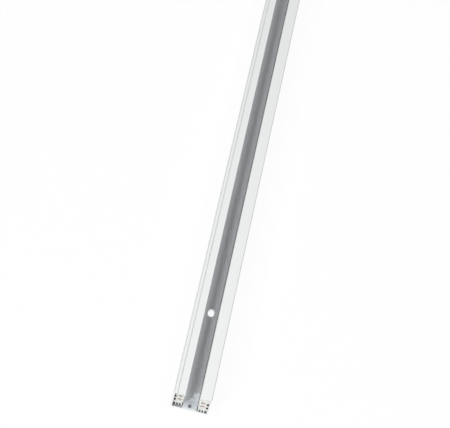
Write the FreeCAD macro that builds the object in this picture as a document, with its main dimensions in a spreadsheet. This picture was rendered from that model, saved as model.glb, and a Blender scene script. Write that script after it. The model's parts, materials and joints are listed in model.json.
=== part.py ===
import FreeCAD, Part
import math
import os
from types import SimpleNamespace

import Sketcher

# Three-phase lighting track: one metre of bare stock, lying on its back with the slot upwards.
# X runs across the track, Y along it and Z up from the back face. The origin is on the back face,
# at the middle of the length. Lengths are in millimetres.

DRIVING_SIZES = (
    ("track_length", 1000, "saw cut to saw cut"),
    ("track_width", 36, "across both side walls"),
    ("track_height", 33, "back face to flange face"),
    ("slot_width", 14, "mouth between the lips, where the adapter goes in"),
    ("side_wall", 1.4, "thickness of the side walls"),
    ("base_wall", 2.0, "thickness under the insulators"),
    ("land_rise", 1.2, "raised floor between the insulators, for the fixing screws"),
    ("land_width", 13.8, "raised floor"),
    ("land_radius", 0.2, "long edges of the raised floor"),
    ("flange_wall", 1.6, "thickness of the two flanges"),
    ("lip_wall", 1.2, "thickness of the lips beside the mouth"),
    ("lip_drop", 2.8, "how far the lips hang below the flanges"),
    ("corner_radius", 1.0, "long outer corners"),
    ("mouth_radius", 0.4, "long edges of the mouth"),
    ("mark_inset", 3.6, "polarity groove, from the left wall's outer face"),
    ("mark_width", 0.8, "polarity groove"),
    ("mark_depth", 0.8, "polarity groove"),
    ("fixing_inset", 104, "fixing slot's centre, from each end"),
    ("fixing_width", 6, "fixing slot, across the track"),
    ("fixing_length", 8, "fixing slot, along the track"),
    ("end_hole_inset", 3, "blind end hole, from each end"),
    ("end_hole_diameter", 3.3, "blind end hole"),
    ("end_hole_depth", 1.6, "blind end hole's straight wall"),
    ("drill_angle", 118, "point left by the drill, in degrees"),
    ("insulator_wall", 1.0, "thickness of the plastic"),
    ("insulator_play", 0.15, "clearance between plastic and aluminium"),
    ("first_setback", 0.2, "plastic stops short of one saw cut"),
    ("last_setback", 2.0, "plastic stops short of the other saw cut"),
    ("foot_setback", 0.75, "insulator's foot, behind its front face"),
    ("leg_pitch", 2.6, "from leg to leg under the insulator"),
    ("leg_height", 4.85, "legs under the insulator"),
    ("pocket_height", 4.6, "hollows behind the conductors"),
    ("pocket_drop", 1.6, "those hollows' middle, below the conductors' centres"),
    ("contact_offset", 12.4, "conductors' centres, from the middle plane"),
    ("lower_contact", 15.2, "lower conductors' centres, above the back"),
    ("upper_contact", 22.4, "upper conductors' centres, above the back"),
    ("contact_opening", 4.2, "height of the channels in front of the conductors"),
    ("contact_lead_in", 0.4, "bevel at the mouths of those channels"),
    ("groove_wrap", 0.5, "the conductor groove reaches this far in front of its centre"),
    ("conductor_diameter", 2.2, "round copper wire"),
    ("conductor_play", 0.05, "clearance round the wire"),
    ("conductor_setback", 0.2, "wire stops short of each end of the plastic"),
)


class Size:
    """A dimension: its number, and the formula that ties it to the sheet."""

    def __init__(self, number, formula=None):
        self.number = number
        self.formula = formula or str(number)

    def join(self, sign, other, number):
        return Size(number, f"({self.formula} {sign} {other.formula})")

    def __add__(self, other):
        return self.join("+", other, self.number + other.number)

    def __sub__(self, other):
        return self.join("-", other, self.number - other.number)

    def __neg__(self):
        return Size(-self.number, f"-({self.formula})")

    def times(self, factor):
        return Size(self.number * factor, f"({self.formula} * {factor})")

    def half(self):
        return Size(self.number / 2, f"({self.formula} / 2)")


doc = FreeCAD.newDocument("lighting_track")


def make_sheet():
    """Fill the sheet with the driving sizes and return them by name."""
    sheet = doc.addObject("Spreadsheet::Sheet", "sizes")
    named = {}
    for row, (alias, number, note) in enumerate(DRIVING_SIZES, start=1):
        sheet.set(f"A{row}", alias)
        sheet.set(f"B{row}", str(number))
        sheet.set(f"C{row}", note)
        sheet.setAlias(f"B{row}", alias)
        named[alias] = Size(number, f"sizes.{alias}")
    doc.recompute()
    return SimpleNamespace(**named)


dim = make_sheet()
ZERO = Size(0)

# Lines that the aluminium and the plastic share, as distances from the middle plane and the back face.
outer_face = dim.track_width.half()
wall_face = outer_face - dim.side_wall
lip_face = dim.slot_width.half()
lip_back = lip_face + dim.lip_wall
lip_tip = dim.track_height - dim.flange_wall - dim.lip_drop
land_face = dim.land_width.half()
roof = dim.track_height - dim.flange_wall
floor = dim.base_wall + dim.land_rise
groove_radius = dim.conductor_diameter.half() + dim.conductor_play

# The insulators are cut a little shorter than the channel and lie nearer to one of its ends.
insulator_length = dim.track_length - dim.first_setback - dim.last_setback
insulator_shift = (dim.last_setback - dim.first_setback).half()


def make_body(name):
    body = doc.addObject("PartDesign::Body", name)
    body.Label = name
    return body


def origin_plane(body, role):
    return next(plane for plane in body.Origin.OriginFeatures if plane.Role == role)


def make_sketch(body, name, role, offset=None):
    """A sketch on one of the body's own planes, moved along the plane's normal if an offset is given."""
    sketch = body.newObject("Sketcher::SketchObject", name)
    sketch.AttachmentSupport = [(origin_plane(body, role), "")]
    sketch.MapMode = "FlatFace"
    if offset:
        sketch.setExpression("AttachmentOffset.Base.z", offset.formula)
    return sketch


def hold(sketch, kind, *target, size):
    """Add a dimension to the sketch and tie it to the sheet."""
    index = sketch.addConstraint(Sketcher.Constraint(kind, *target, size.number))
    sketch.setExpression(f"Constraints[{index}]", size.formula)


def draw_outline(sketch, points):
    """A closed outline of straight edges, with each corner held by its two coordinates."""
    corners = [FreeCAD.Vector(x.number, y.number, 0) for x, y in points]
    ends = corners[1:] + corners[:1]
    for corner, end in zip(corners, ends):
        sketch.addGeometry(Part.LineSegment(corner, end))
    for index, (x, y) in enumerate(points):
        following = (index + 1) % len(points)
        sketch.addConstraint(Sketcher.Constraint("Coincident", index, 2, following, 1))
        hold(sketch, "DistanceX", index, 1, size=x)
        hold(sketch, "DistanceY", index, 1, size=y)


def draw_circle(sketch, x, y, diameter):
    centre = FreeCAD.Vector(x.number, y.number, 0)
    circle = Part.Circle(centre, FreeCAD.Vector(0, 0, 1), diameter.number / 2)
    index = sketch.addGeometry(circle)
    hold(sketch, "DistanceX", index, 3, size=x)
    hold(sketch, "DistanceY", index, 3, size=y)
    hold(sketch, "Diameter", index, size=diameter)


def draw_slot(sketch, y, width, length):
    """A slot with round ends on the sketch's Y axis, centred at y and running along it."""
    radius = width.half()
    reach = length.half() - radius
    for end, start_angle in ((y + reach, 0), (y - reach, math.pi)):
        centre = FreeCAD.Vector(0, end.number, 0)
        circle = Part.Circle(centre, FreeCAD.Vector(0, 0, 1), radius.number)
        arc = sketch.addGeometry(Part.ArcOfCircle(circle, start_angle, start_angle + math.pi))
        hold(sketch, "DistanceX", arc, 3, size=ZERO)
        hold(sketch, "DistanceY", arc, 3, size=end)
        hold(sketch, "Radius", arc, size=radius)
    far_arc, near_arc = 0, 1
    for first, last in ((far_arc, near_arc), (near_arc, far_arc)):
        side = Part.LineSegment(sketch.getPoint(first, 2), sketch.getPoint(last, 1))
        line = sketch.addGeometry(side)
        sketch.addConstraint(Sketcher.Constraint("Tangent", first, 2, line, 1))
        sketch.addConstraint(Sketcher.Constraint("Tangent", line, 2, last, 1))


def extrude(body, name, sketch, length):
    """Pad the sketch to both sides of its plane."""
    pad = body.newObject("PartDesign::Pad", name)
    pad.Profile = sketch
    pad.Midplane = True
    pad.setExpression("Length", length.formula)
    doc.recompute()
    return pad


def cut(body, kind, name, sketch, settings):
    """Add a cutting feature, and make sure that it takes material away."""
    before = body.Shape.Volume
    feature = body.newObject(kind, name)
    feature.Profile = sketch
    doc.recompute()
    for key, value in settings.items():
        if isinstance(value, Size):
            feature.setExpression(key, value.formula)
        else:
            setattr(feature, key, value)
    doc.recompute()
    if body.Shape.Volume >= before:
        raise RuntimeError(f"{name} cuts nothing")
    return feature


def long_edges(body, places):
    """Names of the edges that run the length of the track at these (x, z) places."""
    names = []
    for index, edge in enumerate(body.Shape.Edges, start=1):
        box = edge.BoundBox
        for x, z in places:
            offset = max(abs(box.Center.x - x.number), abs(box.Center.z - z.number))
            if offset < 0.001 and box.YLength > dim.track_length.number / 2:
                names.append(f"Edge{index}")
    return names


def round_edges(body, name, places, radius):
    base, edges = body.Tip, long_edges(body, places)
    fillet = body.newObject("PartDesign::Fillet", name)
    fillet.Base = (base, edges)
    fillet.setExpression("Radius", radius.formula)
    doc.recompute()


def make_channel():
    """The aluminium extrusion, with its drilled holes."""
    body = make_body("track_channel")
    right = [
        (outer_face, ZERO),
        (outer_face, dim.track_height),
        (lip_face, dim.track_height),
        (lip_face, lip_tip),
        (lip_back, lip_tip),
        (lip_back, roof),
        (wall_face, roof),
        (wall_face, dim.base_wall),
        (land_face, dim.base_wall),
        (land_face, floor),
    ]
    left = [(-x, z) for x, z in reversed(right)]

    # The polarity groove runs along the left flange only.
    mark = -(outer_face - dim.mark_inset)
    mark_sides = (mark + dim.mark_width.half(), mark - dim.mark_width.half())
    mark_floor = dim.track_height - dim.mark_depth
    outer_left = left[-2:]
    groove = [
        (mark_sides[0], dim.track_height),
        (mark_sides[0], mark_floor),
        (mark_sides[1], mark_floor),
        (mark_sides[1], dim.track_height),
    ]
    section = make_sketch(body, "channel_section", "XZ_Plane")
    draw_outline(section, right + left[:-2] + groove + outer_left)
    extrude(body, "channel_extrusion", section, dim.track_length)

    corners = [(side, z) for side in (outer_face, -outer_face) for z in (ZERO, dim.track_height)]
    round_edges(body, "outer_corners", corners, dim.corner_radius)
    mouth = [(side, dim.track_height) for side in (lip_face, -lip_face)]
    round_edges(body, "mouth_edges", mouth, dim.mouth_radius)
    land = [(side, floor) for side in (land_face, -land_face)]
    round_edges(body, "land_edges", land, dim.land_radius)

    half_length = dim.track_length.half()
    fixing = make_sketch(body, "fixing_outline", "XY_Plane")
    draw_slot(fixing, half_length - dim.fixing_inset, dim.fixing_width, dim.fixing_length)
    through = {"Type": "ThroughAll", "Reversed": True}
    fixing_slot = cut(body, "PartDesign::Pocket", "fixing_slot", fixing, through)

    end_centre = make_sketch(body, "end_hole_centre", "XY_Plane", floor)
    draw_circle(end_centre, ZERO, half_length - dim.end_hole_inset, dim.end_hole_diameter)
    blind = {
        "ThreadType": "None",
        "DepthType": "Dimension",
        "DrillPoint": "Angled",
        "Diameter": dim.end_hole_diameter,
        "Depth": dim.end_hole_depth,
        "DrillPointAngle": dim.drill_angle,
    }
    end_hole = cut(body, "PartDesign::Hole", "end_hole", end_centre, blind)

    other_end = body.newObject("PartDesign::Mirrored", "holes_at_other_end")
    other_end.Originals = [fixing_slot, end_hole]
    other_end.MirrorPlane = (origin_plane(body, "XZ_Plane"), [""])
    body.Tip = other_end
    return body


def insulator_outline():
    """The comb-shaped section: legs below, contact channels in front, hollows behind."""
    wall = dim.insulator_wall
    front = lip_face + dim.insulator_play
    foot = dim.base_wall + dim.insulator_play
    foot_front = front + dim.foot_setback
    shelf = foot + dim.leg_height
    top = roof - dim.insulator_play
    channel_back = dim.contact_offset - dim.groove_wrap
    pocket_floor = dim.contact_offset + groove_radius + wall
    back = wall_face - dim.insulator_play
    under_lip = lip_tip - dim.insulator_play
    behind_lip = lip_back + dim.insulator_play

    legs = []
    for number in range(3):
        near = foot_front + dim.leg_pitch.times(number)
        far = near + wall
        legs += [(near, shelf), (near, foot), (far, foot), (far, shelf)]

    def back_pocket(contact):
        middle = contact - dim.pocket_drop
        low, high = middle - dim.pocket_height.half(), middle + dim.pocket_height.half()
        return [(back, low), (pocket_floor, low), (pocket_floor, high), (back, high)]

    head = [(back, top), (behind_lip, top), (behind_lip, under_lip), (front, under_lip)]

    def contact_channel(contact):
        ceiling, ground = contact + dim.contact_opening.half(), contact - dim.contact_opening.half()
        inside = front + dim.contact_lead_in
        return [
            (front, ceiling + dim.contact_lead_in),
            (inside, ceiling),
            (channel_back, ceiling),
            (channel_back, ground),
            (inside, ground),
            (front, ground - dim.contact_lead_in),
        ]

    # Below the lower channel's lip the front steps back, to clear the heads of the fixing screws.
    step = dim.lower_contact - dim.contact_opening.half() - dim.contact_lead_in - wall
    front_step = [(front, step), (foot_front, step)]

    pockets = [(back, shelf)] + back_pocket(dim.lower_contact) + back_pocket(dim.upper_contact)
    channels = contact_channel(dim.upper_contact) + contact_channel(dim.lower_contact)
    return legs[1:] + pockets + head + channels + front_step


def turn_round(body):
    """Turn a piece end for end, so that it lies on the left and nearer to the other end."""
    body.Placement.Rotation = FreeCAD.Rotation(FreeCAD.Vector(0, 0, 1), 180)


def make_insulator(side):
    """One plastic strip. Both sides are the same extrusion."""
    body = make_body(f"{side}_insulator")
    section = make_sketch(body, f"{side}_comb", "XZ_Plane", insulator_shift)
    draw_outline(section, insulator_outline())
    extrude(body, f"{side}_strip", section, insulator_length)

    grooves = make_sketch(body, f"{side}_groove_circles", "XZ_Plane")
    for height in (dim.lower_contact, dim.upper_contact):
        draw_circle(grooves, dim.contact_offset, height, groove_radius.times(2))
    along = {"Type": "ThroughAll", "Midplane": True}
    cut(body, "PartDesign::Pocket", f"{side}_conductor_grooves", grooves, along)
    if side == "left":
        turn_round(body)
    return body


def make_conductor(level, side, height):
    """One round wire, lying in its groove."""
    body = make_body(f"{level}_{side}_conductor")
    section = make_sketch(body, f"{level}_{side}_wire_section", "XZ_Plane", insulator_shift)
    draw_circle(section, dim.contact_offset, height, dim.conductor_diameter)
    length = insulator_length - dim.conductor_setback.times(2)
    extrude(body, f"{level}_{side}_wire", section, length)
    if side == "left":
        turn_round(body)
    return body


def write_parts(bodies):
    """Check the whole document, then write one file for each piece."""
    doc.recompute()
    failed = [item.Label for item in doc.Objects if {"Invalid", "Error"} & set(item.State)]
    if failed:
        raise RuntimeError(f"these failed to build: {failed}")
    for body in bodies:
        if body.Shape.isNull() or not body.Shape.isValid():
            raise RuntimeError(f"{body.Label} has no valid shape")
    os.makedirs("parts", exist_ok=True)
    for body in bodies:
        body.Shape.exportStep(f"parts/{body.Label}.step")
        print(body.Label, len(body.Shape.Solids), "solid", round(body.Shape.Volume, 1), "mm3")


pieces = [make_channel()]
for side in ("left", "right"):
    pieces.append(make_insulator(side))
    for level, height in (("upper", dim.upper_contact), ("lower", dim.lower_contact)):
        pieces.append(make_conductor(level, side, height))
write_parts(pieces)
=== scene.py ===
# %% [markdown]
# # A length of three-phase lighting track
# The object is one metre of ceiling track, lying on its back with the slot up. A white aluminium channel
# holds two plastic strips, and each strip carries two copper wires that a lamp's adapter touches when it is
# turned into place. Its solids come finished from CAD, at their real size, so this lesson adds what CAD
# leaves out: the finish of every surface, the light and the camera. The first step loads those solids as a
# fixed frame and keeps the box they fill.

# %% Load the track
import json
import math

import bmesh
import bpy
from mathutils import Matrix, Vector


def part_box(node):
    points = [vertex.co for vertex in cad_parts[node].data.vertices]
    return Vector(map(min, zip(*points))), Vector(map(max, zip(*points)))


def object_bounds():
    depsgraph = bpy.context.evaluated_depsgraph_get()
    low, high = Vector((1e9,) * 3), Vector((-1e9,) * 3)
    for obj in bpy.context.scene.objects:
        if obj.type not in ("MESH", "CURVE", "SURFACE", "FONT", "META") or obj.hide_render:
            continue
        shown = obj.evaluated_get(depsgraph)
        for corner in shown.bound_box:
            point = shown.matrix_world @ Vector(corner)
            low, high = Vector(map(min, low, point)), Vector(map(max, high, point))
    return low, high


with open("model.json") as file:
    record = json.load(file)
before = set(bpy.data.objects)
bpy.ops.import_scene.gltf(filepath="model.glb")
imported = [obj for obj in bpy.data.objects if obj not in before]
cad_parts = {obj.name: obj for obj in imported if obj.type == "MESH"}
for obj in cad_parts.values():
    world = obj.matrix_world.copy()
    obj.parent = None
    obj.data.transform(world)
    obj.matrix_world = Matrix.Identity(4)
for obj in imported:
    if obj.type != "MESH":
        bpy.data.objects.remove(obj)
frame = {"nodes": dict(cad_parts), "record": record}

MM = 0.001
cad_low, cad_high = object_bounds()
near_end = cad_low.y
half_length = cad_high.y
track_height = cad_high.z
print("pieces:", ", ".join(sorted(frame["nodes"])))
print("track, mm:", [round(side / MM, 1) for side in cad_high - cad_low])

# %% [markdown]
# ## The camera
# A long lens looks down on the near end from about 1.4 metres away, and the far half of the track runs out
# of the picture. Such a view could be set by eye, but a camera that is given its place in metres and three
# angles can be checked and changed. Tilt swings it up from straight down, pan turns it a little to the
# right, and roll leans the picture, so that the track runs up and to the right across it.

# %% Camera
PICTURE_WIDTH = 450
FOCAL_LENGTH_IN_PIXELS = 1442.7
CAMERA_FROM_NEAR_END = Vector((-0.0367, -0.5585, 1.2406))
CAMERA_TILT = math.radians(32.13)
CAMERA_PAN = math.radians(2.08)
CAMERA_ROLL = math.radians(15.46)
MATRIX_SIZE = 4

camera_data = bpy.data.cameras.new("photo_camera")
camera_data.sensor_fit = "HORIZONTAL"
camera_data.lens = camera_data.sensor_width * FOCAL_LENGTH_IN_PIXELS / PICTURE_WIDTH
camera = bpy.data.objects.new("photo_camera", camera_data)
bpy.context.scene.collection.objects.link(camera)
camera_place = Vector((0, near_end, 0)) + CAMERA_FROM_NEAR_END
pan = Matrix.Rotation(-CAMERA_PAN, MATRIX_SIZE, "Z")
tilt = Matrix.Rotation(CAMERA_TILT, MATRIX_SIZE, "X")
roll = Matrix.Rotation(CAMERA_ROLL, MATRIX_SIZE, "Z")
camera.matrix_world = Matrix.Translation(camera_place) @ pan @ tilt @ roll
bpy.context.scene.camera = camera
bpy.context.scene.view_settings.view_transform = "Standard"
print("lens, mm:", round(camera_data.lens, 1))

# %% [markdown]
# ## Sums with shader sockets
# A finish is a small network of nodes, and most of its nodes only add, multiply or compare. Wiring those by
# hand hides the idea, so this class wraps one output socket and gives it Python's operators: `1 - mask`
# adds a Math node and returns a new wire. Every other node comes from the `node` method, which sets the
# node's own settings first and then fills its sockets, with a link where it gets a wire and with a plain
# value where it gets anything else.

# %% The wire class
MIX_COLOUR_A, MIX_COLOUR_B, MIX_COLOUR_RESULT = 6, 7, 2


class Wire:
    """One output socket in a node tree, ready for sums with numbers and other wires."""

    def __init__(self, tree, socket=None):
        self.tree = tree
        self.socket = socket

    def node(self, kind, settings=None, sockets=None, output=0):
        """Adds a node, sets it up, fills its sockets and returns one of its outputs."""
        made = self.tree.nodes.new(kind)
        for name, value in (settings or {}).items():
            setattr(made, name, value)
        for name, value in (sockets or {}).items():
            self.fill(made.inputs[name], value)
        return Wire(self.tree, made.outputs[output] if made.outputs else None)

    def fill(self, socket, value):
        if isinstance(value, Wire):
            self.tree.links.new(value.socket, socket)
        else:
            socket.default_value = value

    def beside(self, output):
        """Another output of the same node."""
        return Wire(self.tree, self.socket.node.outputs[output])

    def sum(self, operation, *values):
        return self.node("ShaderNodeMath", {"operation": operation}, dict(enumerate(values)))

    def __add__(self, other):
        return self.sum("ADD", self, other)

    def __radd__(self, other):
        return self.sum("ADD", other, self)

    def __sub__(self, other):
        return self.sum("SUBTRACT", self, other)

    def __rsub__(self, other):
        return self.sum("SUBTRACT", other, self)

    def __mul__(self, other):
        return self.sum("MULTIPLY", self, other)

    def __rmul__(self, other):
        return self.sum("MULTIPLY", other, self)

    def __abs__(self):
        return self.sum("ABSOLUTE", self)

    def at_least(self, other):
        return self.sum("MAXIMUM", self, other)

    def root(self):
        return self.sum("SQRT", self)

    def sign(self):
        return self.sum("SIGN", self)

    def rise(self, start, end):
        """0 below start, 1 above end and a smooth climb between them."""
        return self.node("ShaderNodeMapRange", {"interpolation_type": "SMOOTHSTEP"},
                         {"Value": self, "From Min": start, "From Max": end})

    def within(self, low, high, edge):
        """1 from low to high, and 0 further than an edge outside them."""
        return self.rise(low - edge, low) * (1 - self.rise(high, high + edge))

    def between(self, first, second):
        """The colour that is first where this wire is 0, and second where it is 1."""
        return self.node("ShaderNodeMix", {"data_type": "RGBA"},
                         {"Factor": self, MIX_COLOUR_A: first, MIX_COLOUR_B: second}, MIX_COLOUR_RESULT)


print("wires know:", [name for name in vars(Wire) if not name.startswith("_")])

# %% [markdown]
# ## The floor and the white room
# The track lies on a plain white sheet that fades into a white background. Lighting a floor until it is
# pure white would burn out the white track on it, so the floor gives off most of its white by itself, but
# only towards the camera and towards reflections. For every other ray it is plain matte paper, and a small
# share of that paper shows to the camera too, which keeps the soft shadow along the track. The glow lights
# nothing, so it is taken out of the list of lamps that Blender aims its rays at, and the picture has less
# grain.

# %% Floor and world
FLOOR_HALF_WIDTH = 8.0
FLOOR_GAP = 0.02 * MM
PAPER = (0.9, 0.9, 0.9, 1)
WHITE = (1, 1, 1, 1)
WHITE_STRENGTH = 1.0
OWN_WHITE_SHARE = 0.94
ROOM_LIGHT = (1.0, 0.99, 0.97, 1)
ROOM_STRENGTH = 0.05


def seen_directly(start):
    """1 for rays from the camera, from mirror-like surfaces and through clear ones."""
    rays = start.node("ShaderNodeLightPath", output="Is Camera Ray")
    return rays.at_least(rays.beside("Is Glossy Ray")).at_least(rays.beside("Is Transmission Ray"))


def fresh_nodes(owner):
    """Empties the node tree of a material or world and returns a wire to start from."""
    owner.use_nodes = True
    owner.node_tree.nodes.clear()
    return Wire(owner.node_tree)


paper = bpy.data.materials.new("white_paper")
paper.cycles.emission_sampling = "NONE"
start = fresh_nodes(paper)
matte = start.node("ShaderNodeBsdfDiffuse", None, {"Color": PAPER})
glow = start.node("ShaderNodeEmission", None, {"Color": WHITE, "Strength": WHITE_STRENGTH})
own_white = seen_directly(start) * OWN_WHITE_SHARE
sheet = start.node("ShaderNodeMixShader", None, {0: own_white, 1: matte, 2: glow})
start.node("ShaderNodeOutputMaterial", None, {"Surface": sheet})

floor_mesh = bpy.data.meshes.new("floor")
shape = bmesh.new()
bmesh.ops.create_grid(shape, x_segments=1, y_segments=1, size=FLOOR_HALF_WIDTH)
bmesh.ops.translate(shape, verts=shape.verts, vec=(0, 0, cad_low.z - FLOOR_GAP))
shape.to_mesh(floor_mesh)
shape.free()
floor_mesh.materials.append(paper)
floor = bpy.data.objects.new("floor", floor_mesh)
bpy.context.scene.collection.objects.link(floor)

room = bpy.data.worlds.new("white_room")
bpy.context.scene.world = room
start = fresh_nodes(room)
dim = start.node("ShaderNodeBackground", None, {"Color": ROOM_LIGHT, "Strength": ROOM_STRENGTH})
bright = start.node("ShaderNodeBackground", None, {"Color": WHITE, "Strength": WHITE_STRENGTH})
around = start.node("ShaderNodeMixShader", None, {0: seen_directly(start), 1: dim, 2: bright})
start.node("ShaderNodeOutputWorld", None, {"Surface": around})
print("floor half width, m:", FLOOR_HALF_WIDTH)

# %% [markdown]
# ## The lamps
# The slot shows how the track was lit. Its floor is bright just inside the open end, with a slanting edge
# of shadow, so a small lamp stands in front and to the left. Further in, both sides of the slot are lighter
# than its middle, so two long soft lamps hang above it, one each side. A low lamp at the front right fills
# in the cut end, and another behind keeps the far end from going dark in other views. Each lamp is given as
# a direction and a distance from the top of the near end, which is how a photographer would set it up.

# %% Lamps
NEAR_END_TOP = Vector((0, near_end, track_height))
DAYLIGHT = (0.93, 0.975, 1.0)
WHITE_LIGHT = (1, 1, 1)


def hang_lamp(name, azimuth, elevation, distance, size, power, colour=WHITE_LIGHT):
    """A rectangular lamp aimed at the track. Azimuth 0 is before the near end, and 90 is to the right."""
    turn, climb = math.radians(azimuth), math.radians(elevation)
    away = Vector((math.sin(turn) * math.cos(climb), -math.cos(turn) * math.cos(climb), math.sin(climb)))
    light = bpy.data.lights.new(name, "AREA")
    light.shape = "RECTANGLE"
    light.size, light.size_y = size
    light.energy = power
    light.color = colour
    lamp = bpy.data.objects.new(name, light)
    lamp.location = NEAR_END_TOP + away * distance
    lamp.rotation_mode = "QUATERNION"
    lamp.rotation_quaternion = (-away).to_track_quat("-Z", "Y")
    bpy.context.scene.collection.objects.link(lamp)
    print(name, "at", [round(value, 2) for value in lamp.location], "with", power, "W")


hang_lamp("front_lamp", azimuth=-37.4, elevation=35.9, distance=2.93, size=(0.2, 0.2), power=38.5,
          colour=DAYLIGHT)
hang_lamp("left_lamp", azimuth=-90, elevation=67.5, distance=2.0, size=(0.9, 0.55), power=16)
hang_lamp("right_lamp", azimuth=90, elevation=66.5, distance=2.0, size=(0.9, 0.55), power=16.5)
hang_lamp("end_lamp", azimuth=33, elevation=9.3, distance=2.92, size=(0.6, 0.6), power=7)
hang_lamp("back_lamp", azimuth=180, elevation=11.6, distance=3.1, size=(0.8, 0.8), power=9)

# %% [markdown]
# ## Patterns for all the finishes
# Nothing on the track is quite even: the coat has a faint orange peel, and all that came through a die has
# fine lines along it. Both could be painted as pictures, but noise on a piece's own coordinates has no
# seams and stays in place from every side. One noise, stretched along the track or not, gives lines or
# spots. A saw cut has straight lines of its own, at the angle of the blade.

# %% Noise, saw marks, and how a finish starts and ends
SAW_LINE_WIDTH = 0.22 * MM
SAW_LINE_HEIGHT = 0.01 * MM
SAW_TURN = math.radians(25)
MIDDLE_OF_NOISE = 0.5
NOISE_DETAIL = 2.0


def start_finish(name):
    """A new material with its object coordinates: the whole place, and its three parts."""
    finish = bpy.data.materials.new(name)
    start = fresh_nodes(finish)
    place = start.node("ShaderNodeTexCoord", output="Object")
    x = place.node("ShaderNodeSeparateXYZ", None, {"Vector": place}, "X")
    return finish, place, x, x.beside("Y"), x.beside("Z")


def finish_surface(place, height, **sockets):
    """Ends a material with one shader, whose normal is raised by height in metres."""
    bump = place.node("ShaderNodeBump", None, {"Strength": 1.0, "Distance": 1.0, "Height": height})
    named = {name.replace("_", " "): value for name, value in sockets.items()}
    surface = place.node("ShaderNodeBsdfPrincipled", None, {"Normal": bump, **named})
    place.node("ShaderNodeOutputMaterial", None, {"Surface": surface})


def grain(place, across, along):
    """Soft noise from 0 to 1 whose spots have one size across the track and another along it."""
    stretched = place.node("ShaderNodeVectorMath", {"operation": "MULTIPLY"},
                           {0: place, 1: (1 / across, 1 / along, 1 / across)})
    return place.node("ShaderNodeTexNoise", None,
                      {"Vector": stretched, "Scale": 1.0, "Detail": NOISE_DETAIL})


def saw_marks(x, z):
    """Noise in straight parallel lines, as a saw leaves them on a cut end."""
    feed = (x * math.cos(SAW_TURN) + z * math.sin(SAW_TURN)) * (1 / SAW_LINE_WIDTH)
    return x.node("ShaderNodeTexNoise", {"noise_dimensions": "1D"},
                  {"W": feed, "Scale": 1.0, "Detail": NOISE_DETAIL})


print("saw lines, mm:", SAW_LINE_WIDTH / MM)

# %% [markdown]
# ## Drilled holes
# The fixing slots and the small end holes were drilled after coating, so no powder is on their walls. A
# mask for them could be drawn on the mesh, but the record already says where they are and how wide, so
# their distance is worked out from that: a slot is a round hole whose centre may slide along the track.

# %% A mask for the holes
MASK_EDGE = 0.02 * MM

mounts = {mount["name"]: mount for mount in frame["record"]["mounts"]}
slot_floor = mounts["end_holes"]["pos_m"][2]


def in_holes(x, y, z, mount, rim):
    """1 on the walls and the rim of a pair of holes in the slot's floor."""
    dims = mount["dims"]
    radius = dims["hole_r_mm"] * MM
    straight = max(dims.get("slot_length_mm", 0) * MM - 2 * radius, 0) / 2
    past_centre = abs(abs(y) - dims["spacing_y_mm"] / 2 * MM)
    past_straight = (past_centre - straight).at_least(0)
    distance = (x * x + past_straight * past_straight).root()
    below = 1 - z.rise(slot_floor + MASK_EDGE, slot_floor + MM)
    return (1 - distance.rise(radius + rim, radius + rim + MASK_EDGE)) * below


print("slot floor, mm above the back:", round(slot_floor / MM, 2))

# %% [markdown]
# ## White powder coat over aluminium
# The channel is an aluminium extrusion, sprayed with white powder and baked. The coat is satin, with a
# faint orange peel, and the lines of the die show through it. Less powder reaches the bottom of the slot,
# so a little grey metal shines through there. The saw cuts and the fixing slots are bare metal. Painted
# shade darkens the polarity groove, the outer top corners, the narrow gap beside the insulators and the
# walls of the small end holes. Several materials on painted faces could do this, but one material with
# masks from the object's own coordinates suits a single extrusion, and its edges stay crisp.

# %% Powder coat
COAT_WHITE = (0.806, 0.813, 0.807, 1)
THIN_COAT = (0.76, 0.795, 0.84, 1)
# painted shade: darker grey for the polarity groove, where shade falls in it
PAINTED_GROOVE_SHADE = (0.69, 0.70, 0.705, 1)
# painted shade: grey along the outer top corners, where the sides turn away from the light
PAINTED_EDGE_SHADE = (0.56, 0.57, 0.575, 1)
# painted shade: dark grey in the narrow gap beside the insulators, below the slot floor
PAINTED_GAP_SHADE = (0.37, 0.37, 0.38, 1)
BARE_METAL = (0.84, 0.85, 0.86, 1)
# painted shade: dark grey on the walls of the small end holes, not metallic
PAINTED_BORE_SHADE = (0.38, 0.40, 0.42, 1)
COAT_ROUGHNESS = 0.38
PEEL_SIZE = 1.3 * MM
PEEL_HEIGHT = 0.006 * MM
PEEL_SHEEN = 0.06
DIE_LINE_WIDTH = 0.4 * MM
DIE_LINE_LENGTH = 300 * MM
DIE_LINE_HEIGHT = 0.004 * MM
DIE_LINE_SHEEN = 0.08
METAL_SHOWING = 0.15
CUT_DEPTH = 0.06 * MM
FIXING_RIM = 0.25 * MM
THIN_COAT_HEIGHT = 8 * MM
FULL_COAT_HEIGHT = 26 * MM
SIDE_WALL = 1.4 * MM
LAND_EDGE = 6.88 * MM
GAP_SHADE_EDGE = 0.2 * MM
CORNER_START, CORNER_FULL = 1.0 * MM, 0.45 * MM
GROOVE_INSET = 3.6 * MM
GROOVE_WIDTH = 0.84 * MM
GROOVE_DEPTH = 1.0 * MM
FLANGE_SKIN = 0.1 * MM


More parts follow.
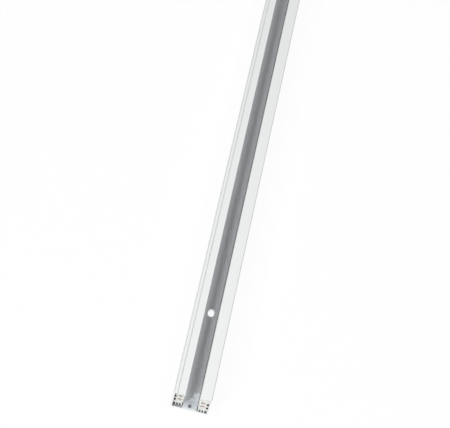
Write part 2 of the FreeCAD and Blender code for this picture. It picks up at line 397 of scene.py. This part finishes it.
def powder_coat():
    finish, place, x, y, z = start_finish("white_powder_coat")
    cut = abs(y).rise(half_length - CUT_DEPTH, half_length - CUT_DEPTH / 2)
    bare = cut.at_least(in_holes(x, y, z, mounts["fixing_slots"], FIXING_RIM))
    # painted shade inside the small end holes
    bore = in_holes(x, y, z, mounts["end_holes"], 0)

    inside = 1 - abs(x).rise(cad_high.x - SIDE_WALL - MASK_EDGE, cad_high.x - SIDE_WALL)
    thin = inside * (1 - z.rise(THIN_COAT_HEIGHT, FULL_COAT_HEIGHT))
    beside_land = abs(x).rise(LAND_EDGE, LAND_EDGE + MASK_EDGE)
    # painted shade in the narrow gap between the land and the insulators
    painted_shade = inside * beside_land * (1 - z.rise(slot_floor - GAP_SHADE_EDGE, slot_floor))
    # painted shade along the outer top corners
    corner = (abs(x) + z - cad_high.x - track_height).rise(-CORNER_START, -CORNER_FULL)
    # painted shade in the polarity groove
    groove_middle = cad_low.x + GROOVE_INSET
    across_groove = x.within(groove_middle - GROOVE_WIDTH / 2, groove_middle + GROOVE_WIDTH / 2, MASK_EDGE)
    groove = across_groove * z.within(track_height - GROOVE_DEPTH, track_height - FLANGE_SKIN, MASK_EDGE)

    peel = grain(place, PEEL_SIZE, PEEL_SIZE)
    lines = grain(place, DIE_LINE_WIDTH, DIE_LINE_LENGTH)
    skin = corner.between(thin.between(COAT_WHITE, THIN_COAT), PAINTED_EDGE_SHADE)
    coat = groove.between(skin, PAINTED_GROOVE_SHADE)
    worked = bore.between(bare.between(coat, BARE_METAL), PAINTED_BORE_SHADE)
    peel_sheen = (peel - MIDDLE_OF_NOISE) * PEEL_SHEEN
    line_sheen = (lines - MIDDLE_OF_NOISE) * DIE_LINE_SHEEN * thin
    relief = (1 - bare) * (peel * PEEL_HEIGHT + lines * DIE_LINE_HEIGHT)
    finish_surface(place, relief + cut * saw_marks(x, z) * SAW_LINE_HEIGHT,
                   Base_Color=(painted_shade * (1 - cut)).between(worked, PAINTED_GAP_SHADE),
                   Metallic=bare.at_least(thin * lines * METAL_SHOWING),
                   Roughness=COAT_ROUGHNESS + peel_sheen + line_sheen)
    return finish


channel_finish = powder_coat()
print(channel_finish.name, "has", len(channel_finish.node_tree.nodes), "nodes")

# %% [markdown]
# ## Off-white insulator plastic
# The two strips are extruded from stiff off-white plastic. It is matte, with faint long streaks, and the
# saw leaves its ends rougher and paler. Painted shade darkens the feet of the strips, and darker still
# their backs with the closed pockets behind the wires. The left strip is the right one turned end for
# end, so the place along the track times the sign of the side lines both strips up, and one pair of masks
# finds the ends of both.

# %% Insulator plastic
PLASTIC = (0.84, 0.83, 0.80, 1)
PLASTIC_STREAK = (0.80, 0.79, 0.75, 1)
CUT_PLASTIC = (0.875, 0.87, 0.83, 1)
# painted shade: dark grey on the strips' feet, where shade falls low in the slot
PAINTED_FOOT_SHADE = (0.37, 0.355, 0.335, 1)
# painted shade: near black on the backs of the strips, in the closed pockets behind the wires
PAINTED_POCKET_SHADE = (0.14, 0.135, 0.13, 1)
PLASTIC_ROUGHNESS = 0.5
CUT_ROUGHNESS = 0.15
STREAK_WIDTH = 0.8 * MM
STREAK_LENGTH = 160 * MM
STREAK_HEIGHT = 0.006 * MM
STREAK_SHEEN = 0.1
STREAK_START, STREAK_FULL = 0.4, 0.8
CUT_ZONE = 0.3 * MM
POCKET_DEPTH = 1.9 * MM
LEG_HEIGHT = 4.95 * MM

strip_low, strip_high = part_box("right_insulator")


def insulator_plastic():
    finish, place, x, y, z = start_finish("insulator_plastic")
    along = y * x.sign()
    cut = 1 - along.within(strip_low.y + CUT_ZONE, strip_high.y - CUT_ZONE, CUT_ZONE / 2)
    in_pockets = abs(x).rise(strip_high.x - POCKET_DEPTH - CUT_ZONE, strip_high.x - POCKET_DEPTH)
    in_foot = 1 - z.rise(strip_low.z + LEG_HEIGHT - CUT_ZONE, strip_low.z + LEG_HEIGHT)

    streaks = grain(place, STREAK_WIDTH, STREAK_LENGTH)
    skin = streaks.rise(STREAK_START, STREAK_FULL).between(PLASTIC, PLASTIC_STREAK)
    # painted shade on the feet and the backs of the strips
    painted_shade = in_pockets.between(in_foot.between(skin, PAINTED_FOOT_SHADE), PAINTED_POCKET_SHADE)
    streak_sheen = (streaks - MIDDLE_OF_NOISE) * STREAK_SHEEN
    relief = (1 - cut) * streaks * STREAK_HEIGHT
    finish_surface(place, relief + cut * saw_marks(x, z) * SAW_LINE_HEIGHT,
                   Base_Color=cut.between(painted_shade, CUT_PLASTIC),
                   Roughness=PLASTIC_ROUGHNESS + streak_sheen + cut * CUT_ROUGHNESS)
    return finish


strip_finish = insulator_plastic()
print(strip_finish.name, "has", len(strip_finish.node_tree.nodes), "nodes")

# %% [markdown]
# ## Drawn copper
# The four conductors are round copper wire, drawn through a die, so very fine lines run along them. Copper
# darkens unevenly as it is handled and stored, and long soft patches of a browner, duller metal show that.
# A plain metal colour would look like new coin, so the same stretched noise drives both the colour and the
# shine.

# %% Copper
COPPER = (0.62, 0.42, 0.33, 1)
DARK_COPPER = (0.36, 0.25, 0.20, 1)
COPPER_ROUGHNESS = 0.3
TARNISH_WIDTH = 2 * MM
TARNISH_LENGTH = 35 * MM
TARNISH_ROUGHNESS = 0.18
TARNISH_START, TARNISH_FULL = 0.4, 0.75
DRAWN_LINE_WIDTH = 0.15 * MM
DRAWN_LINE_HEIGHT = 0.003 * MM
DRAWN_LINE_SHEEN = 0.1


def drawn_copper():
    finish, place, *_ = start_finish("drawn_copper")
    tarnish = grain(place, TARNISH_WIDTH, TARNISH_LENGTH).rise(TARNISH_START, TARNISH_FULL)
    lines = grain(place, DRAWN_LINE_WIDTH, DIE_LINE_LENGTH)
    line_sheen = (lines - MIDDLE_OF_NOISE) * DRAWN_LINE_SHEEN
    finish_surface(place, lines * DRAWN_LINE_HEIGHT,
                   Base_Color=tarnish.between(COPPER, DARK_COPPER),
                   Metallic=1.0,
                   Roughness=COPPER_ROUGHNESS + tarnish * TARNISH_ROUGHNESS + line_sheen)
    return finish


wire_finish = drawn_copper()
print(wire_finish.name, "has", len(wire_finish.node_tree.nodes), "nodes")

# %% [markdown]
# ## Dressing the solids
# Every solid is one real piece of one material, so each gets its finish in its own material slot. The
# meshes stay as CAD made them.

# %% Give each piece its finish
FINISHES = {
    "powder_coated_aluminium": channel_finish,
    "insulator_plastic": strip_finish,
    "copper": wire_finish,
}
for subpart in frame["record"]["subparts"]:
    piece = frame["nodes"][subpart["node"]]
    for slot in piece.material_slots:
        slot.material = FINISHES[subpart["material_slot"]]
    print(subpart["node"], "gets", piece.material_slots[0].material.name)

# %% [markdown]
